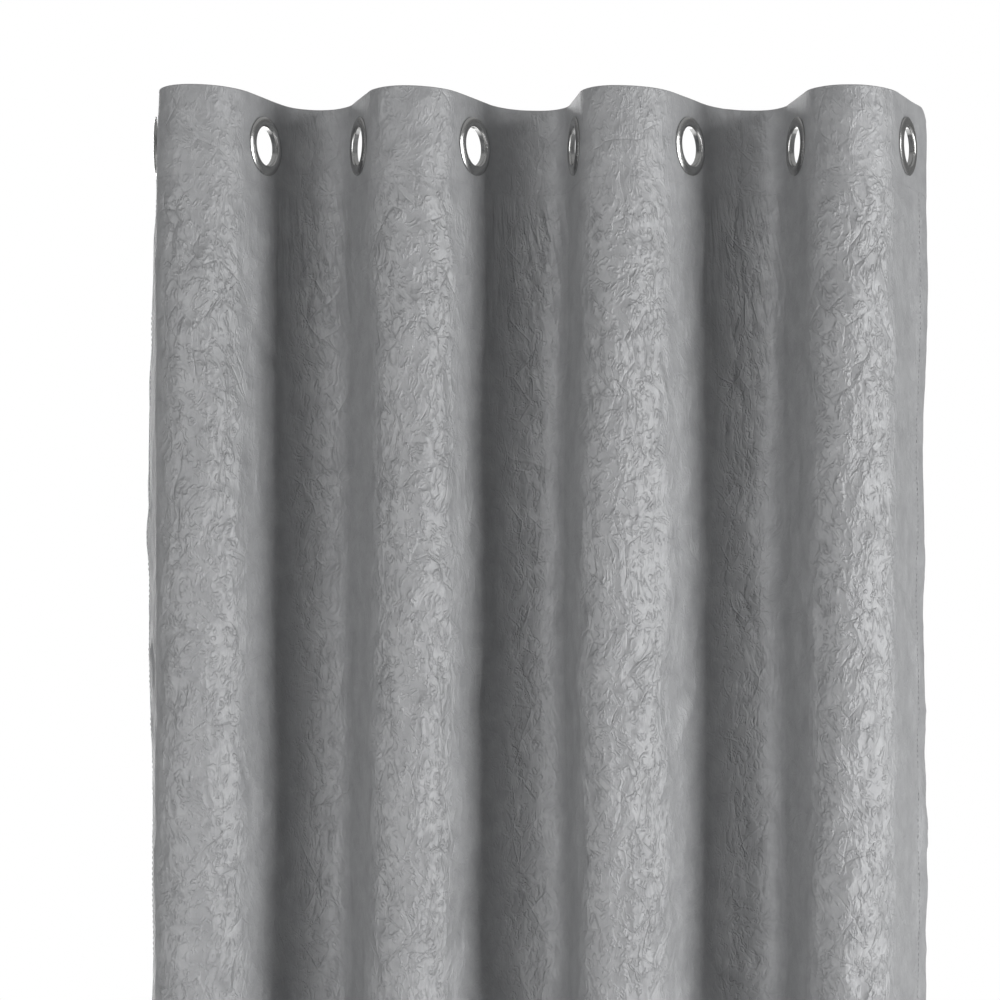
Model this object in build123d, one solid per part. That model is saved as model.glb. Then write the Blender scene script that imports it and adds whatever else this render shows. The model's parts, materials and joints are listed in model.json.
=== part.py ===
"""Eyelet curtain panel, hung in its folds on the line of a curtain rod.

Millimetres. X runs along the rod, -Y is the room side, +Z is up. The origin is on the
rod's axis, near the middle of the panel. The cloth follows one wave: straight flanks
that carry the eyelets, joined by arcs at the front and rear folds.
"""
from build123d import *
import math
import os

# Eyelets: a flanged barrel from the front and a ring snapped on from the back.
BORE_RADIUS = 21.0
FLANGE_RADIUS = 32.0
FLANGE_RISE = 3.0
FLANGE_EDGE = 1.2
BORE_LIP = 3.0
SHEET_METAL = 0.8
BACK_RING_THICKNESS = 1.4
BACK_RING_ROUND = 0.9
BARREL_STAND_OUT = 0.3

# The rod that the eyelets are made for, which isn't part of the panel.
ROD_RADIUS = 14.0

# Panel as it hangs, cut to one drop.
DROP = 2500.0
HEAD_ABOVE_EYELET = 53.0
HEADING_DEPTH = 100.0
STIFFENER_DEPTH = 90.0
BOTTOM_HEM_DEPTH = 90.0
SIDE_HEM_WIDTH = 30.0
SIDE_MARGIN = 68.0

# The wave along the rod: where the eyelets sit, and how far each flank turns from the rod.
FIRST_EYELET_X = -419.0
EYELET_GAPS = (119.0, 103.0, 127.0, 110.0, 127.0, 117.0, 122.0)
FLANK_DEGREES = (80.0, 66.0, 70.0, 60.0, 82.0, 55.0, 82.0, 61.0)
FLANK_MARGIN = 2.0

# Cloth layers, from the room side backwards, and the sewing thread on the face.
CLOTH = 0.8
STIFFENER = 0.6
THREAD = 0.4
STITCH_INSET = 3.0

# Clearances: cloth to eyelet metal, and cloth to barrel.
CLOTH_TO_METAL = 0.3
HOLE_CLEARANCE = 1.0

BARREL_RADIUS = BORE_RADIUS + SHEET_METAL
HOLE_RADIUS = BARREL_RADIUS + HOLE_CLEARANCE
FLANK_RUN = FLANGE_RADIUS + FLANK_MARGIN
EYELET_Z = ROD_RADIUS - BORE_RADIUS
TOP_Z = EYELET_Z + HEAD_ABOVE_EYELET
BOTTOM_Z = TOP_Z - DROP
HEADING_Z = TOP_Z - HEADING_DEPTH
HEM_Z = BOTTOM_Z + BOTTOM_HEM_DEPTH
HEADING_BACK = CLOTH + STIFFENER + CLOTH


def eyelet_positions():
    """X of each eyelet's centre on the rod's axis."""
    places = [FIRST_EYELET_X]
    for gap in EYELET_GAPS:
        places.append(places[-1] + gap)
    return places


def flank_heading(index):
    """Direction of travel along the cloth at an eyelet, in radians from +X."""
    towards_wall = 1 if index % 2 else -1
    return towards_wall * math.radians(FLANK_DEGREES[index])


def fold_radii(gap, first, second):
    """Radii of the two arcs of a fold that meet at its crest, for its two flank angles."""
    rise_1, rise_2 = 1 - math.cos(first), 1 - math.cos(second)
    reach = gap - FLANK_RUN * (math.cos(first) + math.cos(second))
    step = FLANK_RUN * (math.sin(second) - math.sin(first))
    radius_1 = (reach * rise_2 + step * math.sin(second)) / (
        math.sin(first) * rise_2 + math.sin(second) * rise_1
    )
    radius_2 = (reach - radius_1 * math.sin(first)) / math.sin(second)
    return radius_1, radius_2


def wave_pieces():
    """The wave from its left edge to its right: (length, radius, turn), with turn 0 if straight."""
    pieces = [(SIDE_MARGIN + FLANK_RUN, 0.0, 0.0)]
    for index, gap in enumerate(EYELET_GAPS):
        angles = [math.radians(FLANK_DEGREES[index + side]) for side in (0, 1)]
        turning = -1 if index % 2 else 1
        for radius, angle in zip(fold_radii(gap, *angles), angles):
            pieces.append((radius * angle, radius, turning * angle))
        pieces.append((2 * FLANK_RUN, 0.0, 0.0))
    pieces[-1] = (FLANK_RUN + SIDE_MARGIN, 0.0, 0.0)
    return pieces


def wave_start():
    """The panel's left edge, and the cloth's heading there."""
    heading = flank_heading(0)
    return (
        FIRST_EYELET_X - SIDE_MARGIN * math.cos(heading),
        -SIDE_MARGIN * math.sin(heading),
        heading,
    )


def offset_point(x, y, heading, back):
    """A point that lies the given distance behind the face."""
    return Vector(x - back * math.sin(heading), y + back * math.cos(heading), 0)


def wave_edges(back, trim):
    """Edges of the wave, a distance behind the face, with trim taken off both side edges."""
    x, y, heading = wave_start()
    pieces = wave_pieces()
    edges = []
    for place, (length, radius, turn) in enumerate(pieces):
        start = (x, y, heading)
        if turn == 0:
            x, y = x + length * math.cos(heading), y + length * math.sin(heading)
            ends = [start[:2], (x, y)]
            shift = (trim * math.cos(heading), trim * math.sin(heading))
            if place == 0:
                ends[0] = (ends[0][0] + shift[0], ends[0][1] + shift[1])
            if place == len(pieces) - 1:
                ends[1] = (ends[1][0] - shift[0], ends[1][1] - shift[1])
            edges.append(Line(*[offset_point(*end, heading, back) for end in ends]))
            continue
        centre = offset_point(x, y, heading, math.copysign(radius, turn))
        stations = []
        for share in (0.0, 0.5, 1.0):
            angle = heading + share * turn
            reach = math.copysign(radius, turn)
            px, py = centre.X + reach * math.sin(angle), centre.Y - reach * math.cos(angle)
            stations.append(offset_point(px, py, angle, back))
            x, y = px, py
        heading += turn
        edges.append(ThreePointArc(*stations))
    return edges


def band(front, back, low, high, trim=0.0):
    """A layer of cloth along the whole wave, between two depths and two heights."""
    near, far = wave_edges(front, trim), wave_edges(back, trim)
    caps = [Line(near[0] @ 0, far[0] @ 0), Line(near[-1] @ 1, far[-1] @ 1)]
    outline = Face(Wire(near + far + caps))
    return Pos(0, 0, low) * extrude(outline, high - low, dir=(0, 0, 1))


def wave_end():
    """The panel's right edge, and the cloth's heading there."""
    last = len(FLANK_DEGREES) - 1
    heading = flank_heading(last)
    x = eyelet_positions()[last]
    return x + SIDE_MARGIN * math.cos(heading), SIDE_MARGIN * math.sin(heading), heading


def side_strip(edge, inward, inset, width, front, back, low, high):
    """An upright strip on the flat end of the panel, from inset to inset + width."""
    x, y, heading = edge
    corners = []
    for along, depth in ((inset, front), (inset + width, front), (inset + width, back), (inset, back)):
        reach = inward * along
        px, py = x + reach * math.cos(heading), y + reach * math.sin(heading)
        corners.append(offset_point(px, py, heading, depth))
    outline = Face(Wire.make_polygon(corners, close=True))
    return Pos(0, 0, low) * extrude(outline, high - low, dir=(0, 0, 1))


def eyelet_plane(index):
    """Plane of an eyelet: on the cloth's face, with its normal out of the face."""
    heading = flank_heading(index)
    outwards = (math.sin(heading), -math.cos(heading), 0)
    return Plane(
        origin=(eyelet_positions()[index], 0, EYELET_Z), x_dir=(0, 0, 1), z_dir=outwards
    )


def punched(layer):
    """A layer with the eyelet holes cut through it."""
    depth = 4 * HEADING_BACK
    for index in range(len(FLANK_DEGREES)):
        cutter = Cylinder(HOLE_RADIUS, depth)
        layer -= eyelet_plane(index).location * cutter
    return layer


def profile_face(edges):
    """Face of a closed half section, drawn with the radius along X and the depth along Z."""
    return Face(Wire(edges))


def section_point(radius, depth):
    return Vector(radius, 0, depth)


def pressed_line(inward):
    """Lip and dome of the pressed front, from barrel to rim, a distance inside its outer skin."""
    top = CLOTH_TO_METAL + FLANGE_RISE
    lip = BORE_LIP - inward
    corner = math.cos(math.pi / 4)
    lip_start = section_point(BORE_RADIUS + inward, top - BORE_LIP)
    lip_middle = section_point(BORE_RADIUS + BORE_LIP - lip * corner, top - BORE_LIP + lip * corner)
    lip_end = section_point(BORE_RADIUS + BORE_LIP, top - inward)
    rim_radius = FLANGE_RADIUS - inward
    rim_height = CLOTH_TO_METAL + FLANGE_EDGE - inward / 2
    rim = section_point(rim_radius, rim_height)
    dome_run = rim_radius - BORE_RADIUS - BORE_LIP
    dome_fall = top - inward - rim_height
    dome_middle = section_point(rim_radius - dome_run / 3, rim_height + dome_fall * 0.72)
    return lip_start, lip_middle, lip_end, dome_middle, rim


def eyelet_front(index):
    """Flange and barrel pressed from sheet: a rolled lip at the bore, then a low hollow dome."""
    outer = pressed_line(0)
    inner = pressed_line(SHEET_METAL)
    tail_depth = -(HEADING_BACK + CLOTH_TO_METAL + BACK_RING_THICKNESS + BARREL_STAND_OUT)
    tail_out = section_point(BARREL_RADIUS, tail_depth)
    tail_in = section_point(BORE_RADIUS, tail_depth)
    foot_out = section_point(FLANGE_RADIUS, CLOTH_TO_METAL)
    foot_in = section_point(FLANGE_RADIUS - SHEET_METAL, CLOTH_TO_METAL)
    half = profile_face(
        [
            Line(tail_in, outer[0]),
            ThreePointArc(outer[0], outer[1], outer[2]),
            ThreePointArc(outer[2], outer[3], outer[4]),
            Line(outer[4], foot_out),
            Line(foot_out, foot_in),
            Line(foot_in, inner[4]),
            ThreePointArc(inner[4], inner[3], inner[2]),
            ThreePointArc(inner[2], inner[1], inner[0]),
            Line(inner[0], tail_out),
            Line(tail_out, tail_in),
        ]
    )
    return eyelet_plane(index).location * revolve(half, Axis.Z)


def eyelet_back(index):
    """Flat ring snapped on the barrel's tail, with its outer corner rounded over."""
    near = -(HEADING_BACK + CLOTH_TO_METAL)
    far = near - BACK_RING_THICKNESS
    bend_in = BACK_RING_ROUND * (1 - math.cos(math.pi / 4))
    inner_near = section_point(BARREL_RADIUS, near)
    inner_far = section_point(BARREL_RADIUS, far)
    round_start = section_point(FLANGE_RADIUS - BACK_RING_ROUND, far)
    round_middle = section_point(FLANGE_RADIUS - bend_in, far + bend_in)
    round_end = section_point(FLANGE_RADIUS, far + BACK_RING_ROUND)
    outer_near = section_point(FLANGE_RADIUS, near)
    half = profile_face(
        [
            Line(inner_near, inner_far),
            Line(inner_far, round_start),
            ThreePointArc(round_start, round_middle, round_end),
            Line(round_end, outer_near),
            Line(outer_near, inner_near),
        ]
    )
    return eyelet_plane(index).location * revolve(half, Axis.Z)


def cloth_nodes():
    """Face, heading layers and hems, all sewn into one panel."""
    behind_face = CLOTH
    behind_stiffener = CLOTH + STIFFENER
    return {
        "face_fabric": punched(band(0, CLOTH, BOTTOM_Z, TOP_Z)),
        "heading_stiffener": punched(
            band(behind_face, behind_stiffener, TOP_Z - STIFFENER_DEPTH, TOP_Z, STITCH_INSET)
        ),
        "heading_facing": punched(band(behind_stiffener, HEADING_BACK, HEADING_Z, TOP_Z)),
        "bottom_hem": band(behind_face, 2 * CLOTH, BOTTOM_Z, HEM_Z),
        "side_hem_left": side_strip(
            wave_start(), 1, 0, SIDE_HEM_WIDTH, behind_face, 2 * CLOTH, HEM_Z, HEADING_Z
        ),
        "side_hem_right": side_strip(
            wave_end(), -1, 0, SIDE_HEM_WIDTH, behind_face, 2 * CLOTH, HEM_Z, HEADING_Z
        ),
    }


def thread_nodes():
    """Rows of stitching, as the line of thread that shows on the face."""
    half = THREAD / 2
    heading_row = HEADING_Z + STITCH_INSET
    hem_row = HEM_Z - STITCH_INSET
    side_row = SIDE_HEM_WIDTH - STITCH_INSET - half
    return {
        "heading_stitching": band(-half, 0, heading_row - half, heading_row + half, STITCH_INSET),
        "bottom_hem_stitching": band(-half, 0, hem_row - half, hem_row + half, STITCH_INSET),
        "side_hem_stitching_left": side_strip(
            wave_start(), 1, side_row, THREAD, -half, 0, hem_row + THREAD, heading_row - THREAD
        ),
        "side_hem_stitching_right": side_strip(
            wave_end(), -1, side_row, THREAD, -half, 0, hem_row + THREAD, heading_row - THREAD
        ),
    }


def eyelet_nodes():
    """Two halves of each eyelet, numbered from the left."""
    nodes = {}
    for index in range(len(FLANK_DEGREES)):
        nodes[f"eyelet_{index + 1}_front"] = eyelet_front(index)
        nodes[f"eyelet_{index + 1}_back"] = eyelet_back(index)
    return nodes


def main():
    os.makedirs("parts", exist_ok=True)
    nodes = {**cloth_nodes(), **thread_nodes(), **eyelet_nodes()}
    for name, shape in nodes.items():
        export_step(shape, f"parts/{name}.step")
    flat_width = sum(length for length, _, _ in wave_pieces())
    print(f"{len(nodes)} nodes, flat width {flat_width:.0f} mm, drop {DROP:.0f} mm")


if __name__ == "__main__":
    main()
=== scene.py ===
"""Looks of an eyelet curtain panel: crushed satin cloth, hems, stitching and nickel eyelets."""
import json
import logging
import math
from collections.abc import Iterator
from dataclasses import dataclass, field
from enum import Enum
from itertools import product

import bpy
import numpy as np
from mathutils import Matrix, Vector


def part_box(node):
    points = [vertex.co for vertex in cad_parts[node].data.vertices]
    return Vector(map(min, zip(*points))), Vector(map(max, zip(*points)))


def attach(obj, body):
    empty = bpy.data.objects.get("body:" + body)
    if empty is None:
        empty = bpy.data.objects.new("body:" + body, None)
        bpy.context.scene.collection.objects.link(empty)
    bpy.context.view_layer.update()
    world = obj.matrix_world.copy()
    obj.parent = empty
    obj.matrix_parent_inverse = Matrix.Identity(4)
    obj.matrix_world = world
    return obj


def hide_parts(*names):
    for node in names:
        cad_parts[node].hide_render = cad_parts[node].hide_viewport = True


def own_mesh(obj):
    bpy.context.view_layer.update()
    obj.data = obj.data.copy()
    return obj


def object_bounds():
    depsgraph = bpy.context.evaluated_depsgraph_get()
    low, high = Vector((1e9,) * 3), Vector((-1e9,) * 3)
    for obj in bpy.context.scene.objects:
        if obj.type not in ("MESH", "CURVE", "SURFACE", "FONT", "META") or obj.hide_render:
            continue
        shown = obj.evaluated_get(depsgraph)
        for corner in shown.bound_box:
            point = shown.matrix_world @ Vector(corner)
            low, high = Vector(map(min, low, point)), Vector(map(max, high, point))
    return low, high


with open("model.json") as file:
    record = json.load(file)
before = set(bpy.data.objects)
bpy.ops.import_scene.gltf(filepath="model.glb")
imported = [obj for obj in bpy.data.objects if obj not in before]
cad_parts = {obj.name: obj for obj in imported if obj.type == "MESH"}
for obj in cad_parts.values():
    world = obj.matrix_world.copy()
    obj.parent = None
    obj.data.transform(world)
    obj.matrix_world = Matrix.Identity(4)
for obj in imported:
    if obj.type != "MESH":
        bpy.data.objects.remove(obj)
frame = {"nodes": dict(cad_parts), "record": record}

log = logging.getLogger("curtain")

Array = np.ndarray
Corner = tuple[Array, Array, Array]
Triangle = tuple[Corner, Corner, Corner]

# Driving dimensions, metres.
DROP = 2.5
SIDE_MARGIN = 0.068
FLANK_RUN = 0.034
CLOTH = 0.0008
HEADING_DEPTH = 0.100
STIFFENER_DEPTH = 0.090
BOTTOM_HEM_DEPTH = 0.090
SIDE_HEM_WIDTH = 0.030
HEADING_BACK = 0.0022
HEM_BACK = 2 * CLOTH
EYELET_HOLE = 0.0272
FACE_EDGE = 0.0012
STITCH_INSET = 0.003

PANEL_BODY = "panel"

# UV maps of the sheets: the flat cloth in metres, the place and strength of the gathers, and
# how strongly the cloth is crushed.
FLAT_MAP = "flat_cloth"
FAN_MAP = "gathers"
CRUSH_MAP = "crush"

CAD_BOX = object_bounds()


class Slot(Enum):
    """Material slots of the record, listed beside each sheet."""

    FABRIC = "fabric"
    TAPE = "heading_tape"
    THREAD = "thread"


def smoothstep(low: Array | float, high: Array | float, value: Array) -> Array:
    """Ease from 0 at low to 1 at high."""
    t = np.clip((value - low) / (high - low), 0.0, 1.0)
    return t * t * (3.0 - 2.0 * t)


@dataclass(frozen=True)
class Eyelet:
    """Where the rod's axis meets an eyelet, and which way the cloth runs there."""

    x: float
    z: float
    heading: float


def eyelets_of(record: dict) -> list[Eyelet]:
    """Read the eyelets from the record's bores, from left to right.

    Args:
        record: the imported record, whose bore mounts are the eyelets.

    Returns:
        One entry for each eyelet, on the cloth's face.
    """
    found = []
    for mount in record["mounts"]:
        if mount["kind"] != "bore":
            continue
        (x, y, z), axis = mount["pos_m"], mount["axis"]
        found.append(Eyelet(x - y * axis[0] / axis[1], z, math.atan2(axis[0], -axis[1])))
    return sorted(found, key=lambda eyelet: eyelet.x)


@dataclass
class Wave:
    """The heading's line seen from above: straight flanks joined by two arcs at each fold."""

    eyelets: list[Eyelet]
    pieces: list[tuple[float, float, float]] = field(init=False)
    starts: list[tuple[float, float, float, float]] = field(init=False)

    def __post_init__(self) -> None:
        """Walk the pieces from the left edge, and note where each one starts."""
        self.pieces = self._pieces()
        first = self.eyelets[0]
        x = first.x - SIDE_MARGIN * math.cos(first.heading)
        y = -SIDE_MARGIN * math.sin(first.heading)
        along, heading = 0.0, first.heading
        self.starts = []
        for length, radius, turn in self.pieces:
            self.starts.append((along, x, y, heading))
            if turn == 0:
                x, y = x + length * math.cos(heading), y + length * math.sin(heading)
            else:
                reach = math.copysign(radius, turn)
                x += reach * (math.sin(heading + turn) - math.sin(heading))
                y += reach * (math.cos(heading) - math.cos(heading + turn))
            heading += turn
            along += length

    def _radii(self, gap: float, first: float, second: float) -> tuple[float, float]:
        """Radii of a fold's two arcs, which meet at its crest.

        Args:
            gap: distance between the fold's eyelets.
            first: angle between the cloth and the rod at the left eyelet.
            second: the same angle at the right eyelet.

        Returns:
            The left arc's radius and the right arc's.
        """
        rise_1, rise_2 = 1 - math.cos(first), 1 - math.cos(second)
        reach = gap - FLANK_RUN * (math.cos(first) + math.cos(second))
        step = FLANK_RUN * (math.sin(second) - math.sin(first))
        radius_1 = (reach * rise_2 + step * math.sin(second)) / (
            math.sin(first) * rise_2 + math.sin(second) * rise_1
        )
        return radius_1, (reach - radius_1 * math.sin(first)) / math.sin(second)

    def _pieces(self) -> list[tuple[float, float, float]]:
        """Divide the heading into flanks and arcs.

        Returns:
            Length, radius and turn of each stretch, from the left edge to the right.
        """
        pieces = [(SIDE_MARGIN + FLANK_RUN, 0.0, 0.0)]
        for left, right in zip(self.eyelets, self.eyelets[1:]):
            angles = (abs(left.heading), abs(right.heading))
            turning = 1.0 if right.heading > 0 else -1.0
            for radius, angle in zip(self._radii(right.x - left.x, *angles), angles):
                pieces.append((radius * angle, radius, turning * angle))
            pieces.append((2 * FLANK_RUN, 0.0, 0.0))
        pieces[-1] = (FLANK_RUN + SIDE_MARGIN, 0.0, 0.0)
        return pieces

    @property
    def width(self) -> float:
        """Flat width of the cloth."""
        return sum(length for length, _, _ in self.pieces)

    def eyelet_places(self) -> list[float]:
        """Distance of each eyelet from the left edge, along the cloth."""
        flats = [start[0] for start, piece in zip(self.starts, self.pieces) if piece[2] == 0]
        return [SIDE_MARGIN] + [flat + FLANK_RUN for flat in flats[1:]]

    def at(self, across: Array) -> tuple[Array, Array, Array]:
        """Place and heading of the cloth.

        Args:
            across: distances from the left edge, along the cloth.

        Returns:
            X, Y and the heading from +X, in radians.
        """
        x, y, heading = (np.zeros_like(across) for _ in range(3))
        for (along, x0, y0, h0), (length, radius, turn) in zip(self.starts, self.pieces):
            here = across >= along - 1e-9
            run = across[here] - along
            if turn == 0:
                x[here], y[here] = x0 + run * math.cos(h0), y0 + run * math.sin(h0)
                heading[here] = h0
                continue
            reach = math.copysign(radius, turn)
            angle = h0 + run / reach
            x[here] = x0 + reach * (np.sin(angle) - math.sin(h0))
            y[here] = y0 + reach * (math.cos(h0) - np.cos(angle))
            heading[here] = angle
        return x, y, heading


@dataclass
class SmoothNoise:
    """Soft random hills between -1 and 1, the same ones for the same seed."""

    seed: int
    cell_across: float
    cell_down: float
    size: int = 256
    start: float = 64.0

    def at(self, across: Array, down: Array) -> Array:
        """Height of the hills.

        Args:
            across: distance from the left edge of the flat cloth.
            down: distance below the top edge.

        Returns:
            One height for each point.
        """
        table = np.random.default_rng(self.seed).uniform(-1.0, 1.0, (self.size, self.size))
        gu = across / self.cell_across + self.start
        gv = down / self.cell_down + self.start
        i, j = np.floor(gu).astype(int), np.floor(gv).astype(int)
        fu, fv = smoothstep(0.0, 1.0, gu - i), smoothstep(0.0, 1.0, gv - j)
        left, right = i % self.size, (i + 1) % self.size
        upper, lower = j % self.size, (j + 1) % self.size
        high = table[left, upper] * (1 - fu) + table[right, upper] * fu
        low = table[left, lower] * (1 - fu) + table[right, lower] * fu
        return high * (1 - fv) + low * fv


@dataclass
class Facets:
    """Flat facets that meet in sharp creases: a jittered lattice of heights, split into triangles."""

    seed: int
    cell_across: float
    cell_down: float
    turn: float
    jitter: float = 0.36
    size: int = 512
    start: tuple[float, float] = (40.0, 80.0)
    heights: Array = field(init=False)
    shift: Array = field(init=False)
    flip: Array = field(init=False)

    def __post_init__(self) -> None:
        """Draw the lattice's heights, its jitter and the way that each cell is split."""
        rng = np.random.default_rng(self.seed)
        self.heights = rng.uniform(-1.0, 1.0, (self.size, self.size))
        self.shift = rng.uniform(-self.jitter, self.jitter, (2, self.size, self.size))
        self.flip = rng.random((self.size, self.size)) < 0.5

    def at(self, across: Array, down: Array) -> Array:
        """Height of the facets, between -1 and 1.

        Args:
            across: distance from the left edge of the flat cloth.
            down: distance below the top edge.

        Returns:
            One height for each point.
        """
        cos, sin = math.cos(self.turn), math.sin(self.turn)
        gu = (across * cos + down * sin) / self.cell_across + self.start[0]
        gv = (-across * sin + down * cos) / self.cell_down + self.start[1]
        i, j = np.floor(gu).astype(int), np.floor(gv).astype(int)
        result, done = np.zeros_like(gu), np.zeros(gu.shape, bool)
        for right, below in product((0, -1, 1), repeat=2):
            for triangle, present in self._triangles(i + right, j + below):
                inside, height = self._over(triangle, gu, gv)
                inside &= present & ~done
                result[inside] = height[inside]
                done |= inside
        return result

    def _corner(self, column: Array, row: Array) -> Corner:
        """Place and height of a lattice point."""
        a, b = column % self.size, row % self.size
        return column + self.shift[0, a, b], row + self.shift[1, a, b], self.heights[a, b]

    def _triangles(self, column: Array, row: Array) -> Iterator[tuple[Triangle, Array]]:
        """The triangles of some cells, for both ways of splitting them.

        Args:
            column: each cell's column.
            row: each cell's row.

        Yields:
            A triangle, and where the cells are split that way.
        """
        near, far = self._corner(column, row), self._corner(column + 1, row)
        low, end = self._corner(column, row + 1), self._corner(column + 1, row + 1)
        flipped = self.flip[column % self.size, row % self.size]
        yield (near, far, end), ~flipped
        yield (near, end, low), ~flipped
        yield (near, far, low), flipped
        yield (far, end, low), flipped

    @staticmethod
    def _over(triangle: Triangle, gu: Array, gv: Array) -> tuple[Array, Array]:
        """Test points against a triangle.

        Args:
            triangle: its three corners.
            gu: the points' columns.
            gv: the points' rows.

        Returns:
            Whether each point lies in the triangle, and the triangle's height there.
        """
        (u1, v1, h1), (u2, v2, h2), (u3, v3, h3) = triangle
        area = (u2 - u1) * (v3 - v1) - (u3 - u1) * (v2 - v1)
        area = np.where(np.abs(area) < 1e-9, 1e-9, area)
        s = ((gu - u1) * (v3 - v1) - (u3 - u1) * (gv - v1)) / area
        t = ((u2 - u1) * (gv - v1) - (gu - u1) * (v2 - v1)) / area
        return (s >= 0) & (t >= 0) & (s + t <= 1), h1 + s * (h2 - h1) + t * (h3 - h1)


@dataclass
class HungCloth:
    """The shape of the hung cloth: a point in space for each point of the flat panel."""

    wave: Wave
    top: float
    coarse_height: float = 0.0019
    middle_height: float = 0.0021
    fine_height: float = 0.0008
    gather_height: float = 0.0018
    bend_across: float = 0.012
    bend_down: float = 0.020
    eyelet_clear: tuple[float, float] = (0.034, 0.075)
    front_reach: float = 0.033
    ridge_reach: float = 0.010
    reach_fade: float = 0.030
    fan_start: float = 0.9
    fan_spread: float = 2.4
    fan_offset: float = 0.35
    sway_across: float = 0.005
    sway_out: float = 0.006
    left_flare: float = 0.009
    left_pull: float = 0.008
    right_flare: float = 0.003
    corner_radius: float = 0.024
    corner_droop: float = 0.015

    def _clear_of_eyelets(self, across: Array, down: Array) -> Array:
        """Where the cloth is free to crease.

        Args:
            across: distance from the left edge of the flat cloth.
            down: distance below the top edge.

        Returns:
            0 at the eyelets' flanges, rising to 1 away from them.
        """
        clear = np.ones_like(across)
        level = self.top - self.wave.eyelets[0].z
        for place in self.wave.eyelet_places():
            reach = np.hypot(across - place, down - level)
            clear *= smoothstep(*self.eyelet_clear, reach)
        return clear

    def creases(self, across: Array, down: Array) -> Array:
        """Height of the crushed cloth's facets over the smooth folds.

        Args:
            across: distance from the left edge of the flat cloth.
            down: distance below the top edge.

        Returns:
            One height for each point, in metres.
        """
        u = across + self.bend_across * SmoothNoise(11, 0.07, 0.11).at(across, down)
        v = down + self.bend_down * SmoothNoise(12, 0.07, 0.11).at(across, down)
        strength = 0.55 + 0.45 * SmoothNoise(13, 0.09, 0.16).at(across, down)
        height = self.coarse_height * Facets(21, 0.050, 0.090, 0.20).at(u, v)
        height += self.middle_height * strength * Facets(22, 0.027, 0.045, -0.35).at(u, v)
        height += self.fine_height * (0.3 + strength) * Facets(23, 0.014, 0.022, 0.60).at(u, v)
        height *= 0.35 + 0.65 * smoothstep(0.07, 0.20, down)
        fan, gathered = self.gathers(across, down)
        height += self.gather_height * gathered * Facets(41, 0.013, 0.110, 0.0).at(fan, down)
        return height * self._clear_of_eyelets(across, down)

    def crush(self, across: Array) -> Array:
        """Strength of the crushing: full on the front folds, less on the rear ridges, low on the flanks.

        Args:
            across: distance from the left edge of the flat cloth.

        Returns:
            One strength for each point, from 0 to 1.
        """
        places = self.wave.eyelet_places()
        middles = np.array([(left + right) / 2 for left, right in zip(places, places[1:])])
        nearest = np.abs(across[..., None] - middles).argmin(-1)
        front = nearest % 2 == 0
        reach = np.where(front, self.front_reach, self.ridge_reach)
        fall = smoothstep(reach, reach + self.reach_fade, np.abs(across - middles[nearest]))
        return np.where(front, 1.0 - 0.72 * fall, 0.70 - 0.45 * fall)

    def gathers(self, across: Array, down: Array) -> tuple[Array, Array]:
        """Upright wrinkles on the folds behind the rod, which fan out below the heading.

        Args:
            across: distance from the left edge of the flat cloth.
            down: distance below the top edge.

        Returns:
            A place across the fan, and the wrinkles' strength from 0 to 1.
        """
        places = self.wave.eyelet_places()
        middles = np.array([(left + right) / 2 for left, right in zip(places[1::2], places[2::2])])
        nearest = np.abs(across[..., None] - middles).argmin(-1)
        widening = self.fan_start + self.fan_spread * np.clip(down - HEADING_DEPTH, 0.0, 0.25)
        spread = (across - middles[nearest]) / widening
        aside = np.abs(spread)
        below = smoothstep(0.088, 0.120, down) * (1.0 - smoothstep(0.15, 0.36, down))
        below *= 1.0 - smoothstep(0.042, 0.075, aside)
        above = 0.45 * (1.0 - smoothstep(0.010, 0.045, down)) * (1.0 - smoothstep(0.010, 0.030, aside))
        return spread + self.fan_offset * nearest, np.clip(below + above, 0.0, 1.0)

    def at(self, across: Array, down: Array, back: Array | float = 0.0) -> Array:
        """Points of a layer of the panel.

        Args:
            across: distance from the left edge of the flat cloth.
            down: distance below the top edge.
            back: how far behind the face the layer lies.

        Returns:
            An array with X, Y and Z last.
        """
        x, y, heading = self.wave.at(across)
        loose = smoothstep(0.09, 0.45, down)
        x = x + self.sway_across * loose * SmoothNoise(31, 0.16, 0.45).at(across, down)
        y = y + self.sway_out * loose * SmoothNoise(32, 0.16, 0.50).at(across, down)
        left = 1.0 - smoothstep(0.0, 0.16, across)
        x = x + left * self.left_flare * (1.0 - smoothstep(0.0, 0.06, down))
        x = x - left * self.left_pull * smoothstep(0.05, 0.26, down)
        x = x + self.right_flare * smoothstep(self.wave.width - 0.060, self.wave.width, across)
        z = self.top - down - self._droop(across, down)
        offset = self.creases(across, down) - back
        return np.stack([x + offset * np.sin(heading), y - offset * np.cos(heading), z], axis=-1)

    def _droop(self, across: Array, down: Array) -> Array:
        """How far the right top corner hangs below the heading's line.

        Args:
            across: distance from the left edge of the flat cloth.
            down: distance below the top edge.

        Returns:
            One distance for each point.
        """
        corner = np.clip((across - self.wave.width + self.corner_radius) / self.corner_radius, 0.0, 1.0)
        return self.corner_droop * (1.0 - np.sqrt(1.0 - corner**2)) * (1.0 - smoothstep(0.0, 0.25, down))


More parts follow.
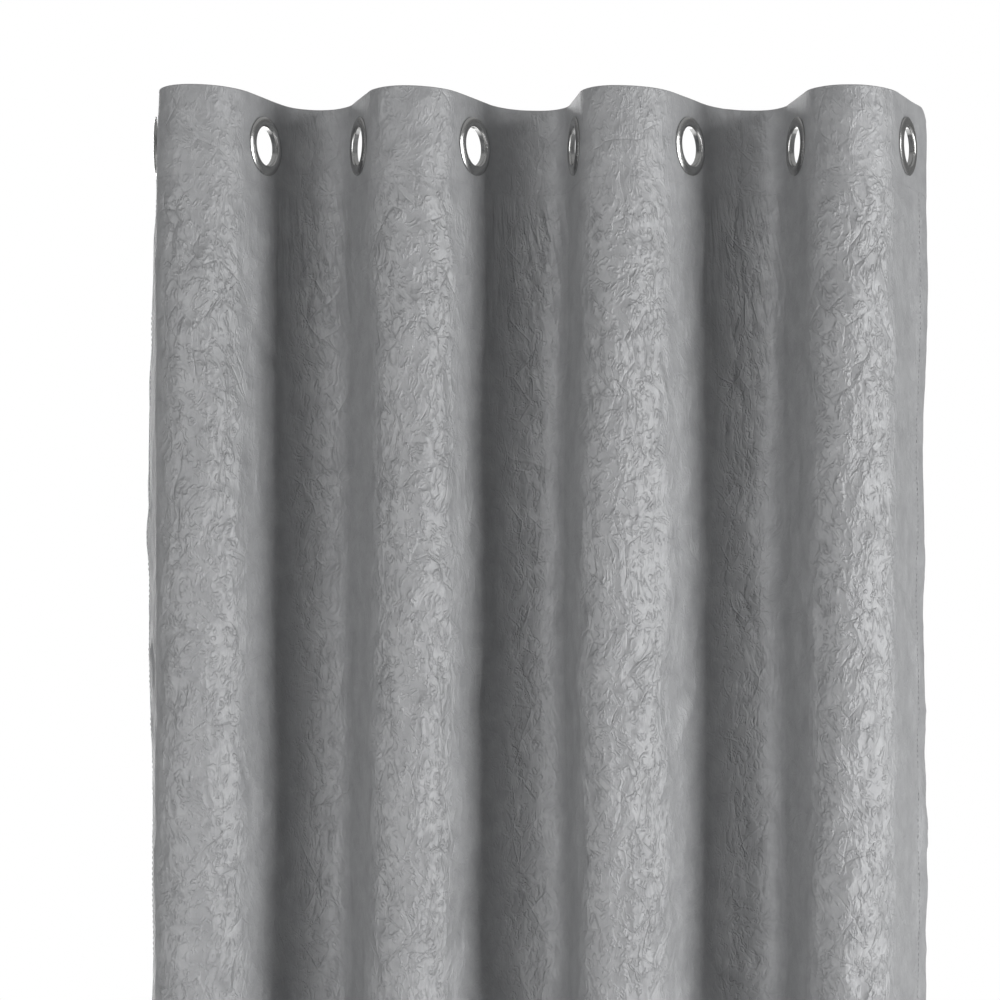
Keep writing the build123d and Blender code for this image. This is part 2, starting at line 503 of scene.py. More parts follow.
def new_object(name: str, points: Array, faces: list[list[int]],
               uv_maps: dict[str, Array]) -> bpy.types.Object:
    """Make a mesh object from points and faces.

    Args:
        name: the piece's name.
        points: an array of points, one row each.
        faces: lists of point numbers.
        uv_maps: two numbers for each point, for each UV map by name.

    Returns:
        The new object, smooth shaded.
    """
    mesh = bpy.data.meshes.new(name)
    mesh.from_pydata(points.tolist(), [], faces)
    mesh.polygons.foreach_set("use_smooth", [True] * len(mesh.polygons))
    corners = np.zeros(len(mesh.loops), int)
    mesh.loops.foreach_get("vertex_index", corners)
    for map_name, places in uv_maps.items():
        uv_map = mesh.uv_layers.new(name=map_name)
        uv_map.data.foreach_set("uv", places[corners].astype(np.float32).ravel())
    mesh.update()
    made = bpy.data.objects.new(name, mesh)
    bpy.context.scene.collection.objects.link(made)
    return made


@dataclass
class SheetGrid:
    """A grid of the flat cloth that becomes one sheet."""

    across: Array
    down: Array
    back: Array | float = 0.0

    def build(self, name: str, cloth: HungCloth, holes: bool) -> bpy.types.Object:
        """Hang the grid and make its mesh.

        Args:
            name: the piece's name.
            cloth: the shape that the grid takes.
            holes: whether the eyelet holes are cut.

        Returns:
            The sheet's object.
        """
        u, v = np.meshgrid(self.across, self.down)
        rows, columns = u.shape
        number = np.arange(rows * columns).reshape(rows, columns)
        quads = np.stack([number[:-1, :-1], number[1:, :-1], number[1:, 1:], number[:-1, 1:]], -1)
        keep = np.ones(quads.shape[:2], bool)
        if holes:
            u, v, keep = self._cut(u, v, quads, cloth)
        points = cloth.at(u, v, self.back).reshape(-1, 3)
        faces = quads[keep].reshape(-1, 4)
        used, numbered = np.unique(faces, return_inverse=True)
        flat = np.stack([u.ravel(), DROP - v.ravel()], -1)
        fan = np.stack([part.ravel() for part in cloth.gathers(u, v)], -1)
        crush = np.stack([cloth.crush(u).ravel(), np.zeros(u.size)], -1)
        maps = {FLAT_MAP: flat[used], FAN_MAP: fan[used], CRUSH_MAP: crush[used]}
        return new_object(name, points[used], numbered.reshape(-1, 4).tolist(), maps)

    def _cut(self, u: Array, v: Array, quads: Array, cloth: HungCloth) -> tuple[Array, Array, Array]:
        """Leave out the faces over each hole, and draw the ones around it to its rim.

        Args:
            u: each point's distance from the left edge.
            v: each point's distance below the top edge.
            quads: the grid's faces, as point numbers.
            cloth: the cloth that holds the eyelets.

        Returns:
            The moved points and which faces are kept.
        """
        keep = np.ones(quads.shape[:2], bool)
        level = cloth.top - cloth.wave.eyelets[0].z
        for place in cloth.wave.eyelet_places():
            reach = np.hypot(u - place, v - level)
            inner = reach.ravel()[quads].mean(-1) < EYELET_HOLE
            keep &= ~inner
            rim = np.zeros(u.size, bool)
            rim[np.unique(quads[inner])] = True
            rim &= np.isin(np.arange(u.size), quads[keep])
            rim = rim.reshape(u.shape)
            scale = EYELET_HOLE / np.maximum(reach, 1e-6)
            u = np.where(rim, place + (u - place) * scale, u)
            v = np.where(rim, level + (v - level) * scale, v)
        return u, v, keep


class Finish:
    """A node material that is built once."""

    name: str = "finish"

    def material(self) -> bpy.types.Material:
        """Make the material, or find it if it is made already.

        Returns:
            The finish's material.
        """
        found = bpy.data.materials.get(self.name)
        if found:
            return found
        made = bpy.data.materials.new(self.name)
        made.use_nodes = True
        self.paint(made.node_tree)
        return made

    def paint(self, tree: bpy.types.NodeTree) -> None:
        """Fill the node tree."""
        raise NotImplementedError


def add_node(tree: bpy.types.NodeTree, kind: str, **values: object) -> bpy.types.Node:
    """Add a node to a tree.

    Args:
        tree: the material's or the world's nodes.
        kind: the node's type.
        **values: its properties and unlinked sockets, by name.

    Returns:
        The new node.
    """
    node = tree.nodes.new(kind)
    for name, value in values.items():
        if name in node.inputs:
            node.inputs[name].default_value = value
        else:
            setattr(node, name, value)
    return node


def texture(tree: bpy.types.NodeTree, kind: str, place: bpy.types.NodeSocket,
            **values: object) -> bpy.types.Node:
    """Add a node that reads a place.

    Args:
        tree: the material's nodes.
        kind: the node's type.
        place: what its Vector socket reads.
        **values: its properties and unlinked sockets, by name.

    Returns:
        The new node.
    """
    node = add_node(tree, kind, **values)
    tree.links.new(place, node.inputs["Vector"])
    return node


def turned(tree: bpy.types.NodeTree, place: bpy.types.NodeSocket, turn: float,
           stretch: float) -> bpy.types.NodeSocket:
    """Turn and stretch a place on the cloth.

    Args:
        tree: the material's nodes.
        place: the place.
        turn: how far it is turned, in radians.
        stretch: scale along the second direction.

    Returns:
        The new place.
    """
    node = texture(tree, "ShaderNodeMapping", place)
    node.inputs["Rotation"].default_value = (0.0, 0.0, turn)
    node.inputs["Scale"].default_value = (1.0, stretch, 1.0)
    return node.outputs[0]


def combine(tree: bpy.types.NodeTree, operation: str, first: bpy.types.NodeSocket,
            second: bpy.types.NodeSocket | float) -> bpy.types.NodeSocket:
    """Join two values with a Math node.

    Args:
        tree: the nodes.
        operation: the Math node's operation.
        first: the first value.
        second: the second value, a socket or a number.

    Returns:
        The result's socket.
    """
    node = add_node(tree, "ShaderNodeMath", operation=operation)
    tree.links.new(first, node.inputs[0])
    if isinstance(second, float):
        node.inputs[1].default_value = second
    else:
        tree.links.new(second, node.inputs[1])
    return node.outputs[0]


def map_range(tree: bpy.types.NodeTree, value: bpy.types.NodeSocket, source: tuple[float, float],
              target: tuple[float, float]) -> bpy.types.NodeSocket:
    """Ease a value from one range to another.

    Args:
        tree: the nodes.
        value: the value.
        source: its range.
        target: the range that it is eased to.

    Returns:
        The result's socket.
    """
    node = add_node(tree, "ShaderNodeMapRange", interpolation_type="SMOOTHSTEP")
    tree.links.new(value, node.inputs["Value"])
    for name, amount in zip(("From Min", "From Max", "To Min", "To Max"), source + target):
        node.inputs[name].default_value = amount
    return node.outputs[0]


@dataclass(frozen=True)
class CreaseScale:
    """One size of the crushed pattern: flat facets with a thin pressed line along each edge."""

    cells: float
    stretch: float
    turn: float
    facet: float
    line: float
    line_width: float


@dataclass(frozen=True)
class Crinkle:
    """One direction of short sharp wrinkles."""

    size: float
    stretch: float
    turn: float
    height: float


@dataclass(frozen=True)
class SatinFinish(Finish):
    """Crushed satin: creases, crinkles, upright grain, a soft gloss and slight colour variation."""

    name: str = "crushed_satin"
    dark: tuple[float, ...] = (0.245, 0.248, 0.254, 1.0)
    light: tuple[float, ...] = (0.305, 0.308, 0.314, 1.0)
    metallic: float = 0.25
    roughness: float = 0.50
    heading_share: float = 0.55
    bend: float = 0.035
    grain_height: float = 0.00034
    grain_scale: tuple[float, float, float] = (900.0, 70.0, 1.0)
    gather_height: float = 0.0024
    gather_slant: float = 0.16
    gather_scale: tuple[float, float] = (130.0, 16.0)
    scales: tuple[CreaseScale, ...] = (
        CreaseScale(cells=17.0, stretch=0.55, turn=0.30, facet=0.0038, line=0.00050, line_width=0.026),
        CreaseScale(cells=37.0, stretch=0.70, turn=-0.75, facet=0.0028, line=0.00055, line_width=0.050),
    )
    crinkles: tuple[Crinkle, ...] = (
        Crinkle(size=30.0, stretch=0.40, turn=0.65, height=0.0013),
        Crinkle(size=46.0, stretch=0.45, turn=-1.15, height=0.0010),
        Crinkle(size=110.0, stretch=0.60, turn=0.15, height=0.0008),
        Crinkle(size=240.0, stretch=0.75, turn=1.35, height=0.0007),
    )

    def paint(self, tree: bpy.types.NodeTree) -> None:
        """Mottled grey over the cloth's relief.

        Args:
            tree: the material's nodes.
        """
        shader = tree.nodes["Principled BSDF"]
        flat = add_node(tree, "ShaderNodeUVMap", uv_map=FLAT_MAP).outputs["UV"]
        bump = add_node(tree, "ShaderNodeBump", Strength=1.0, Distance=1.0)
        tree.links.new(self._relief(tree, flat), bump.inputs["Height"])
        tree.links.new(bump.outputs[0], shader.inputs["Normal"])
        tree.links.new(self._colour(tree, flat), shader.inputs["Base Color"])
        shader.inputs["Metallic"].default_value = self.metallic
        shader.inputs["Roughness"].default_value = self.roughness

    def _relief(self, tree: bpy.types.NodeTree, flat: bpy.types.NodeSocket) -> bpy.types.NodeSocket:
        """Add up the creases, crinkles, gathers and grain.

        Args:
            tree: the material's nodes.
            flat: place on the flat cloth.

        Returns:
            Height in metres.
        """
        upright = add_node(tree, "ShaderNodeSeparateXYZ")
        tree.links.new(flat, upright.inputs[0])
        height = combine(tree, "ADD", self._grain(tree, flat), self._gathers(tree, upright.outputs["Y"]))
        strength = self._strength(tree, upright.outputs["Y"])
        bent = self._bent(tree, flat)
        reliefs = [self._crinkle(tree, bent, crinkle) for crinkle in self.crinkles]
        reliefs += [self._creases(tree, flat, bent, scale) for scale in self.scales]
        for relief in reliefs:
            height = combine(tree, "ADD", height, combine(tree, "MULTIPLY", relief, strength))
        return height

    def _colour(self, tree: bpy.types.NodeTree, flat: bpy.types.NodeSocket) -> bpy.types.NodeSocket:
        """Vary the grey a little over the cloth.

        Args:
            tree: the material's nodes.
            flat: place on the flat cloth.

        Returns:
            The colour.
        """
        mottle = texture(tree, "ShaderNodeTexNoise", flat, noise_dimensions="2D", Scale=34.0, Detail=6.0,
                         Roughness=0.7)
        ramp = add_node(tree, "ShaderNodeValToRGB")
        first, last = ramp.color_ramp.elements
        first.position, last.position = 0.3, 0.7
        first.color, last.color = self.dark, self.light
        tree.links.new(mottle.outputs["Fac"], ramp.inputs["Fac"])
        return ramp.outputs["Color"]

    def _strength(self, tree: bpy.types.NodeTree, level: bpy.types.NodeSocket) -> bpy.types.NodeSocket:
        """Weigh the crushing: less on the heading, and as the sheet's own map says elsewhere.

        Args:
            tree: the material's nodes.
            level: height over the lower edge.

        Returns:
            A strength from 0 to 1.
        """
        heading = (DROP - HEADING_DEPTH - 0.03, DROP - HEADING_DEPTH)
        soften = map_range(tree, level, heading, (1.0, self.heading_share))
        crush = add_node(tree, "ShaderNodeSeparateXYZ")
        tree.links.new(add_node(tree, "ShaderNodeUVMap", uv_map=CRUSH_MAP).outputs["UV"], crush.inputs[0])
        return combine(tree, "MULTIPLY", soften, crush.outputs["X"])

    def _bent(self, tree: bpy.types.NodeTree, flat: bpy.types.NodeSocket) -> bpy.types.NodeSocket:
        """Bend the cloth's places a little, so that no crease is quite straight.

        Args:
            tree: the material's nodes.
            flat: place on the flat cloth.

        Returns:
            The bent place.
        """
        warp = texture(tree, "ShaderNodeTexNoise", flat, noise_dimensions="2D", Scale=9.0, Detail=2.0,
                       Roughness=0.5)
        bent = add_node(tree, "ShaderNodeVectorMath", operation="MULTIPLY_ADD")
        bent.inputs[1].default_value = (self.bend, self.bend, 0.0)
        tree.links.new(warp.outputs["Color"], bent.inputs[0])
        tree.links.new(flat, bent.inputs[2])
        return bent.outputs[0]

    def _creases(self, tree: bpy.types.NodeTree, flat: bpy.types.NodeSocket, bent: bpy.types.NodeSocket,
                 scale: CreaseScale) -> bpy.types.NodeSocket:
        """One size of creases, which comes and goes over the cloth.

        Args:
            tree: the material's nodes.
            flat: place on the flat cloth.
            bent: the bent place.
            scale: the creases' size.

        Returns:
            Height in metres.
        """
        place = turned(tree, bent, scale.turn, scale.stretch)
        cells = texture(tree, "ShaderNodeTexVoronoi", place, voronoi_dimensions="2D",
                        feature="DISTANCE_TO_EDGE", Scale=scale.cells)
        mask = texture(tree, "ShaderNodeTexNoise", flat, noise_dimensions="2D", Scale=scale.cells * 0.45,
                       Detail=2.0)
        facet = combine(tree, "MULTIPLY", cells.outputs["Distance"], scale.facet)
        strong = map_range(tree, mask.outputs["Fac"], (0.42, 0.60), (0.15, 1.0))
        line = map_range(tree, cells.outputs["Distance"], (0.0, scale.line_width), (0.0, scale.line))
        broken = map_range(tree, mask.outputs["Fac"], (0.48, 0.62), (0.0, 1.0))
        facet = combine(tree, "MULTIPLY", facet, strong)
        return combine(tree, "ADD", facet, combine(tree, "MULTIPLY", line, broken))

    def _crinkle(self, tree: bpy.types.NodeTree, bent: bpy.types.NodeSocket,
                 crinkle: Crinkle) -> bpy.types.NodeSocket:
        """Short sharp wrinkles, all lying about one way.

        Args:
            tree: the material's nodes.
            bent: the bent place.
            crinkle: the wrinkles' size and direction.

        Returns:
            Height in metres.
        """
        place = turned(tree, bent, crinkle.turn, crinkle.stretch)
        ridges = texture(tree, "ShaderNodeTexNoise", place, noise_dimensions="2D",
                         noise_type="RIDGED_MULTIFRACTAL", normalize=False, Scale=crinkle.size, Detail=1.0,
                         Roughness=0.5, Offset=1.0, Gain=1.0)
        mask = texture(tree, "ShaderNodeTexNoise", place, noise_dimensions="2D", Scale=crinkle.size * 0.5,
                       Detail=1.0)
        broken = map_range(tree, mask.outputs["Fac"], (0.46, 0.60), (0.0, 1.0))
        height = combine(tree, "MULTIPLY", ridges.outputs["Fac"], crinkle.height)
        return combine(tree, "MULTIPLY", height, broken)

    def _gathers(self, tree: bpy.types.NodeTree, level: bpy.types.NodeSocket) -> bpy.types.NodeSocket:
        """Fine slanted wrinkles among the gathers below the heading.

        Args:
            tree: the material's nodes.
            level: height over the lower edge.

        Returns:
            Height in metres.
        """
        fan = add_node(tree, "ShaderNodeSeparateXYZ")
        tree.links.new(add_node(tree, "ShaderNodeUVMap", uv_map=FAN_MAP).outputs["UV"], fan.inputs[0])
        slanted = combine(tree, "ADD", fan.outputs["X"], combine(tree, "MULTIPLY", level, self.gather_slant))
        place = add_node(tree, "ShaderNodeCombineXYZ")
        tree.links.new(combine(tree, "MULTIPLY", slanted, self.gather_scale[0]), place.inputs["X"])
        tree.links.new(combine(tree, "MULTIPLY", level, self.gather_scale[1]), place.inputs["Y"])
        wrinkles = texture(tree, "ShaderNodeTexNoise", place.outputs[0], noise_dimensions="2D", Scale=1.0,
                           Detail=2.0)
        height = combine(tree, "MULTIPLY", wrinkles.outputs["Fac"], self.gather_height)
        return combine(tree, "MULTIPLY", height, fan.outputs["Y"])

    def _grain(self, tree: bpy.types.NodeTree, flat: bpy.types.NodeSocket) -> bpy.types.NodeSocket:
        """The upright threads.

        Args:
            tree: the material's nodes.
            flat: place on the flat cloth.

        Returns:
            Height in metres.
        """
        mapping = texture(tree, "ShaderNodeMapping", flat)
        mapping.inputs["Scale"].default_value = self.grain_scale
        grain = texture(tree, "ShaderNodeTexNoise", mapping.outputs[0], noise_dimensions="2D", Scale=1.0,
                        Detail=3.0, Roughness=0.6)
        return combine(tree, "MULTIPLY", grain.outputs["Fac"], self.grain_height)


@dataclass(frozen=True)
class TapeFinish(Finish):
    """Stiff white non-woven tape."""

    name: str = "stiffener_tape"
    colour: tuple[float, ...] = (0.72, 0.72, 0.70, 1.0)

    def paint(self, tree: bpy.types.NodeTree) -> None:
        """Fibrous off-white.

        Args:
            tree: the material's nodes.
        """
        shader = tree.nodes["Principled BSDF"]
        flat = add_node(tree, "ShaderNodeUVMap", uv_map=FLAT_MAP)
        fibre = texture(tree, "ShaderNodeTexNoise", flat.outputs["UV"], Scale=700.0, Detail=2.0)
        bump = add_node(tree, "ShaderNodeBump", Strength=0.3, Distance=0.0003)
        tree.links.new(fibre.outputs["Fac"], bump.inputs["Height"])
        tree.links.new(bump.outputs[0], shader.inputs["Normal"])
        shader.inputs["Base Color"].default_value = self.colour
        shader.inputs["Roughness"].default_value = 0.85


@dataclass(frozen=True)
class ThreadFinish(Finish):
    """Twisted polyester thread, a shade darker than the cloth."""

    name: str = "sewing_thread"
    colour: tuple[float, ...] = (0.23, 0.233, 0.24, 1.0)

    def paint(self, tree: bpy.types.NodeTree) -> None:
        """Fine diagonal twist.

        Args:
            tree: the material's nodes.
        """
        shader = tree.nodes["Principled BSDF"]
        place = add_node(tree, "ShaderNodeTexCoord").outputs["Object"]
        twist = texture(tree, "ShaderNodeTexWave", place, Scale=900.0, bands_direction="DIAGONAL")
        bump = add_node(tree, "ShaderNodeBump", Strength=0.4, Distance=0.0001)
        tree.links.new(twist.outputs["Fac"], bump.inputs["Height"])
        tree.links.new(bump.outputs[0], shader.inputs["Normal"])
        shader.inputs["Base Color"].default_value = self.colour
        shader.inputs["Roughness"].default_value = 0.5


@dataclass(frozen=True)
class NickelFinish(Finish):
    """Bright nickel plate with faint polishing marks."""

    name: str = "bright_nickel"
    colour: tuple[float, ...] = (0.46, 0.46, 0.455, 1.0)
    roughness: tuple[float, float] = (0.16, 0.30)

    def paint(self, tree: bpy.types.NodeTree) -> None:
        """Metal with slightly varied roughness.

        Args:
            tree: the material's nodes.
        """
        shader = tree.nodes["Principled BSDF"]
        place = add_node(tree, "ShaderNodeTexCoord").outputs["Object"]
        marks = texture(tree, "ShaderNodeTexNoise", place, Scale=60.0, Detail=4.0)
        rough = add_node(tree, "ShaderNodeMapRange")
        rough.inputs["To Min"].default_value, rough.inputs["To Max"].default_value = self.roughness
        tree.links.new(marks.outputs["Fac"], rough.inputs["Value"])
        tree.links.new(rough.outputs[0], shader.inputs["Roughness"])
        shader.inputs["Base Color"].default_value = self.colour
        shader.inputs["Metallic"].default_value = 1.0


def dress(piece: bpy.types.Object, finish: Finish) -> None:
    """Give a piece its finish.

    Args:
        piece: the piece.
        finish: its finish.
    """
    piece.data.materials.clear()
    piece.data.materials.append(finish.material())


def gather(piece: bpy.types.Object) -> None:
    """Attach a piece to the panel's body, with a mesh of its own."""
    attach(piece, PANEL_BODY)
    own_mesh(piece)


def steps(low: float, high: float, step: float) -> Array:
    """Evenly spaced values, both ends included."""
    return np.linspace(low, high, max(2, math.ceil((high - low) / step) + 1))


@dataclass
class Run:
    """Places along one side of a layer behind the face, and how far back each one lies, from 0 to 1."""

    places: Array
    share: Array

    @classmethod
    def between(cls, low: float, high: float, step: float, turns: tuple[float, float] = (0.0, 0.0)) -> "Run":
        """Lay out a run, with a round turn to the face at one or both of its ends.

        Args:
            low: where the run starts.
            high: where it ends.
            step: the most between two places.
            turns: how deep the layer lies where it turns to the face, at the start and the end, or 0.

        Returns:
            The run.
        """
        places = steps(low, high, step)
        share = np.ones_like(places)
        angle = np.linspace(0.0, math.pi, 7)[:-1]
        rise = (1.0 - np.cos(angle)) / 2
        if turns[0]:
            places = np.concatenate([low - turns[0] / 2 * np.sin(angle), places])
            share = np.concatenate([rise, share])
        if turns[1]:
            places = np.concatenate([places, high + turns[1] / 2 * np.sin(angle[::-1])])
            share = np.concatenate([share, rise[::-1]])
        return cls(places, share)


def layer(across: Run, down: Run, depth: float) -> SheetGrid:
    """Lay out a layer behind the face, which comes forward to it at its turned edges."""
    share = np.minimum(down.share[:, None], across.share[None, :])
    return SheetGrid(across.places, down.places, depth * share)


@dataclass
class ClothPanel:
    """Face, heading layers and hems of the panel."""

    cloth: HungCloth
    step_across: float = 0.0047
    step_down: float = 0.0052
    step_low: float = 0.0142
    fine_down_to: float = 1.12

    def build(self) -> None:
        """Make every sheet, dress it and attach it to the panel's body."""
        width = self.cloth.wave.width
        satin = SatinFinish()
        for name, grid, flat, finish, slot in (
            ("heading_facing", self._facing(), (width, HEADING_DEPTH), satin, Slot.FABRIC),
            ("heading_stiffener", self._stiffener(), (width, STIFFENER_DEPTH), TapeFinish(), Slot.TAPE),
            ("bottom_hem", self._bottom_hem(), (width, BOTTOM_HEM_DEPTH), satin, Slot.FABRIC),
            ("side_hem_left", self._side_hem(left=True), (SIDE_HEM_WIDTH, DROP), satin, Slot.FABRIC),
            ("side_hem_right", self._side_hem(left=False), (SIDE_HEM_WIDTH, DROP), satin, Slot.FABRIC),
            ("face_fabric", self._face(), (width, DROP), satin, Slot.FABRIC),
        ):
            holes = name in ("heading_facing", "heading_stiffener", "face_fabric")
            piece = grid.build(f"{name}_sheet", self.cloth, holes)
            dress(piece, finish)
            gather(piece)
            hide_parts(name)
            log.info("sheet %s: %d faces", piece.name, len(piece.data.polygons))

    def _across(self, depth: float) -> Run:
        """The panel's whole width, turned to the face at both side edges."""
        edges = (FACE_EDGE, self.cloth.wave.width - FACE_EDGE)
        return Run.between(*edges, self.step_across, (depth, depth))

    def _face(self) -> SheetGrid:
        """Lay out the face, with finer rows in its upper part.

        Returns:
            The face's grid.
        """
        fine = steps(FACE_EDGE, self.fine_down_to, self.step_down)
        low = steps(self.fine_down_to, DROP - FACE_EDGE, self.step_low)[1:]
        across = steps(FACE_EDGE, self.cloth.wave.width - FACE_EDGE, self.step_across)
        return SheetGrid(across, np.concatenate([fine, low]))

    def _facing(self) -> SheetGrid:
        """The heading's back, turned over at the top edge."""
        down = Run.between(FACE_EDGE, HEADING_DEPTH, self.step_down, (HEADING_BACK, 0.0))
        return layer(self._across(HEADING_BACK), down, HEADING_BACK)

    def _stiffener(self) -> SheetGrid:
        """The stiff tape between the face and the facing."""
        across = steps(STITCH_INSET, self.cloth.wave.width - STITCH_INSET, self.step_across)
        return SheetGrid(across, steps(STITCH_INSET, STIFFENER_DEPTH, self.step_down), HEADING_BACK / 2)

    def _bottom_hem(self) -> SheetGrid:
        """The hem's back, turned up at the bottom edge."""
        down = Run.between(DROP - BOTTOM_HEM_DEPTH, DROP - FACE_EDGE, self.step_low, (0.0, HEM_BACK))
        return layer(self._across(HEM_BACK), down, HEM_BACK)

    def _side_hem(self, left: bool) -> SheetGrid:
        """Lay out a side hem's back, turned in at the side edge.

        Args:
            left: whether it is the left hem.

        Returns:
            The hem's grid.
        """
        width = self.cloth.wave.width
        if left:
            across = Run.between(FACE_EDGE, SIDE_HEM_WIDTH, self.step_across, (HEM_BACK, 0.0))
        else:
            across = Run.between(width - SIDE_HEM_WIDTH, width - FACE_EDGE, self.step_across, (0.0, HEM_BACK))
        down = Run.between(HEADING_DEPTH, DROP - BOTTOM_HEM_DEPTH, self.step_down)
        return layer(across, down, HEM_BACK)


@dataclass
class Stitching:
    """Rows of stitches, each one a short thread that dips at both ends."""

    cloth: HungCloth
    pitch: float = 0.006
    length: float = 0.0044
    radius: float = 0.00028
    sides: int = 6
    spans: int = 4

    def build(self) -> None:
        """Model one stitch, and lay it along the four rows."""
        stitch = self._model_stitch()
        points = np.array([vertex.co[:] for vertex in stitch.vertices])
        faces = [list(polygon.vertices) for polygon in stitch.polygons]
        bpy.data.meshes.remove(stitch)
        width = self.cloth.wave.width
        heading = HEADING_DEPTH - STITCH_INSET
        hem = DROP - BOTTOM_HEM_DEPTH + STITCH_INSET
        side = SIDE_HEM_WIDTH - STITCH_INSET
        for node, start, end in (
            ("heading_stitching", (STITCH_INSET, heading), (width - STITCH_INSET, heading)),
            ("bottom_hem_stitching", (STITCH_INSET, hem), (width - STITCH_INSET, hem)),
            ("side_hem_stitching_left", (side, heading), (side, hem)),
            ("side_hem_stitching_right", (width - side, heading), (width - side, hem)),
        ):
            self._row(node, (start, end), points, faces)

    def _model_stitch(self) -> bpy.types.Mesh:
        """Draw a six-sided thread out of its end, over an arch, along X with Z up from the cloth.

        Returns:
            The stitch's mesh.
        """
        bpy.ops.object.select_all(action="DESELECT")
        bpy.ops.mesh.primitive_circle_add(
            vertices=self.sides, radius=self.radius * 0.5, fill_type="NGON",
            location=(-self.length / 2, 0.0, -self.radius * 0.6), rotation=(0.0, math.pi / 2, 0.0),
        )
        stitch = bpy.context.object
        bpy.ops.object.transform_apply(location=True, rotation=True, scale=True)
        bpy.ops.object.mode_set(mode="EDIT")
        bpy.ops.mesh.select_all(action="SELECT")
        height, girth = self._arch(0)
        for station in range(1, self.spans + 1):
            next_height, next_girth = self._arch(station)
            move = (self.length / self.spans, 0.0, next_height - height)
            bpy.ops.mesh.extrude_region_move(TRANSFORM_OT_translate={"value": move})
            ratio = next_girth / girth
            centre = (self.length * (station / self.spans - 0.5), 0.0, next_height)
            bpy.ops.transform.resize(value=(1.0, ratio, ratio), center_override=centre)
            height, girth = next_height, next_girth
        bpy.ops.mesh.select_all(action="SELECT")
        bpy.ops.mesh.normals_make_consistent(inside=False)
        bpy.ops.object.mode_set(mode="OBJECT")
        mesh = stitch.data
        bpy.data.objects.remove(stitch)
        return mesh

    def _arch(self, station: int) -> tuple[float, float]:
        """Height over the cloth and girth of the thread at a station along the stitch."""
        rise = math.sin(math.pi * station / self.spans) ** 0.5 if 0 < station < self.spans else 0.0
        return self.radius * (1.6 * rise - 0.6), 0.5 + 0.5 * rise

    def _row(self, node: str, line: tuple[tuple[float, float], ...], points: Array,
             faces: list[list[int]]) -> None:
        """Lay stitches along a line of the flat cloth, in place of a CAD row.

        Args:
            node: the CAD row.
            line: where the row starts and ends, across and down.
            points: the stitch's points.
            faces: its faces.
        """
        start, end = line
        run = math.dist(start, end)
        way = ((end[0] - start[0]) / run, (end[1] - start[1]) / run)
        count = int(run / self.pitch)
        along = (np.arange(count)[:, None] + 0.5) * run / count + points[None, :, 0]
        u = start[0] + way[0] * along - way[1] * points[None, :, 1]
        v = start[1] + way[1] * along + way[0] * points[None, :, 1]
        hung = self.cloth.at(u, v, -points[None, :, 2] * np.ones_like(u)).reshape(-1, 3)
        firsts = range(0, count * len(points), len(points))
        rows = [[first + corner for corner in face] for first in firsts for face in faces]
        piece = new_object(f"{node}_row", hung, rows, {})
        dress(piece, ThreadFinish())
        gather(piece)
        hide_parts(node)
        log.info("row %s: %d stitches", piece.name, count)


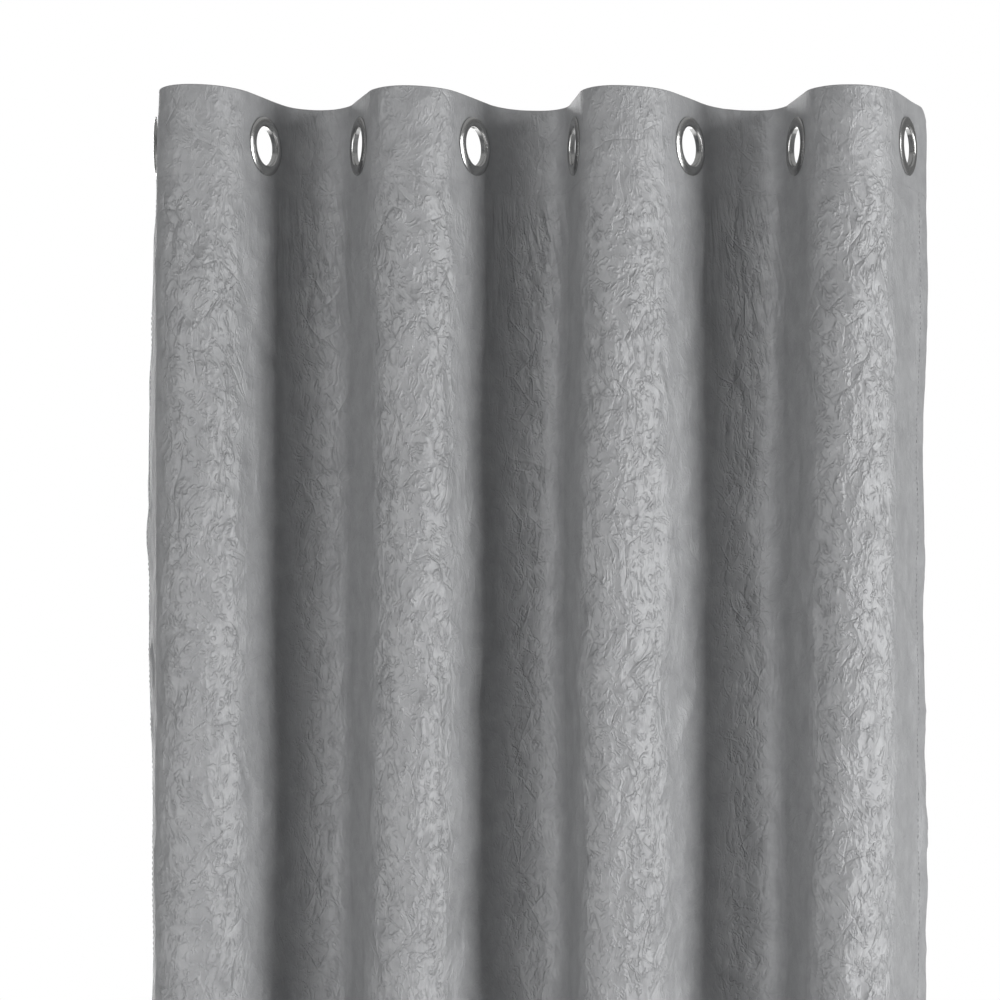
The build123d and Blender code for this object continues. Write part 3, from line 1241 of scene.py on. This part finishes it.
@dataclass
class Studio:
    """Pale floor, soft lights and the camera."""

    distance: float = 1.94
    scale: float = 1.10
    eye: tuple[float, float] = (-0.042, -0.396)
    strip_height: float = 3.0
    strip_reach: float = 2.8
    strip_level: float = -0.7
    floor_reach: tuple[float, float] = (-16.0, 5.0)
    floor_width: float = 26.0
    floor_glow: float = 0.30
    sky_light: float = 0.21
    overhead_light: float = 0.6
    overhead_spread: float = 120.0

    def build(self) -> None:
        """Make the floor, the lights and the camera."""
        self._floor()
        self._world()
        self._strip("right_key", 65.0, 0.9, 88.0)
        self._strip("left_fill", -39.0, 1.1, 44.0)
        self._strip("back_key", 202.0, 1.2, 62.0)
        self._strip("back_fill", 165.0, 1.4, 34.0)
        self._overhead()
        self._camera()

    def _floor(self) -> None:
        """A plain pale floor, a little brighter to the eye than the lights make it."""
        near, far = self.floor_reach
        level = CAD_BOX[0][2] - 0.02
        bpy.ops.mesh.primitive_plane_add(size=1.0, location=(0.0, (near + far) / 2, level))
        floor = bpy.context.object
        floor.name = "floor"
        floor.scale = (self.floor_width, far - near, 1.0)
        bpy.ops.object.transform_apply(location=False, rotation=False, scale=True)
        material = bpy.data.materials.new("pale_floor")
        material.use_nodes = True
        tree = material.node_tree
        shader = tree.nodes["Principled BSDF"]
        shader.inputs["Base Color"].default_value = (0.86, 0.86, 0.86, 1.0)
        shader.inputs["Roughness"].default_value = 0.9
        shader.inputs["Emission Color"].default_value = (1.0, 1.0, 1.0, 1.0)
        rays = add_node(tree, "ShaderNodeLightPath")
        glow = combine(tree, "MULTIPLY", rays.outputs["Is Camera Ray"], self.floor_glow)
        tree.links.new(glow, shader.inputs["Emission Strength"])
        floor.data.materials.append(material)

    def _world(self) -> None:
        """White to the eye, and dimmer as a light."""
        world = bpy.data.worlds.new("studio")
        bpy.context.scene.world = world
        world.use_nodes = True
        tree = world.node_tree
        sky = tree.nodes["Background"]
        rays = add_node(tree, "ShaderNodeLightPath")
        amount = add_node(tree, "ShaderNodeMapRange")
        amount.inputs["To Min"].default_value = self.sky_light
        amount.inputs["To Max"].default_value = 1.0
        tree.links.new(rays.outputs["Is Camera Ray"], amount.inputs["Value"])
        tree.links.new(amount.outputs[0], sky.inputs["Strength"])
        sky.inputs["Color"].default_value = (1.0, 1.0, 1.0, 1.0)

    def _overhead(self) -> None:
        """A wide soft light from above."""
        light = bpy.data.lights.new("overhead", "SUN")
        light.energy = self.overhead_light
        light.angle = math.radians(self.overhead_spread)
        bpy.context.scene.collection.objects.link(bpy.data.objects.new("overhead", light))

    def _strip(self, name: str, azimuth: float, width: float, power: float) -> None:
        """A tall upright softbox that faces the panel.

        Args:
            name: the light's name.
            azimuth: degrees to the right of the camera, seen from the panel.
            width: the softbox's width.
            power: watts.
        """
        light = bpy.data.lights.new(name, "AREA")
        light.shape = "RECTANGLE"
        light.size, light.size_y = width, self.strip_height
        light.energy = power
        lamp = bpy.data.objects.new(name, light)
        bpy.context.scene.collection.objects.link(lamp)
        turn = math.radians(azimuth)
        away = Vector((math.sin(turn), -math.cos(turn), 0.0))
        lamp.location = away * self.strip_reach + Vector((0, 0, self.strip_level))
        lamp.rotation_euler = away.to_track_quat("Z", "Y").to_euler()

    def _camera(self) -> None:
        """A level camera in front of the panel's upper part."""
        data = bpy.data.cameras.new("camera")
        data.lens = data.sensor_width * self.distance / self.scale
        camera = bpy.data.objects.new("camera", data)
        bpy.context.scene.collection.objects.link(camera)
        camera.location = (self.eye[0], -self.distance, self.eye[1])
        camera.rotation_euler = (math.pi / 2, 0, 0)
        bpy.context.scene.camera = camera


@dataclass
class EyeletPlate:
    """The nickel plate of the eyelets' halves, which keep their CAD shape."""

    prefix: str = "eyelet_"
    finish: Finish = NickelFinish()

    def build(self) -> None:
        """Plate each half."""
        for name in frame["nodes"]:
            if name.startswith(self.prefix):
                piece = bpy.data.objects[name]
                piece.data.materials.clear()
                piece.data.materials.append(self.finish.material())
                log.info("eyelet half %s: %s", name, self.finish.name)


def main() -> None:
    """Build the panel and its studio."""
    logging.basicConfig(level=logging.INFO)
    eyelets = eyelets_of(frame["record"])
    cloth = HungCloth(Wave(eyelets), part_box("face_fabric")[1][2])
    ClothPanel(cloth).build()
    Stitching(cloth).build()
    EyeletPlate().build()
    Studio().build()
    bpy.context.scene.view_settings.view_transform = "Standard"


if __name__ == "__main__":
    main()
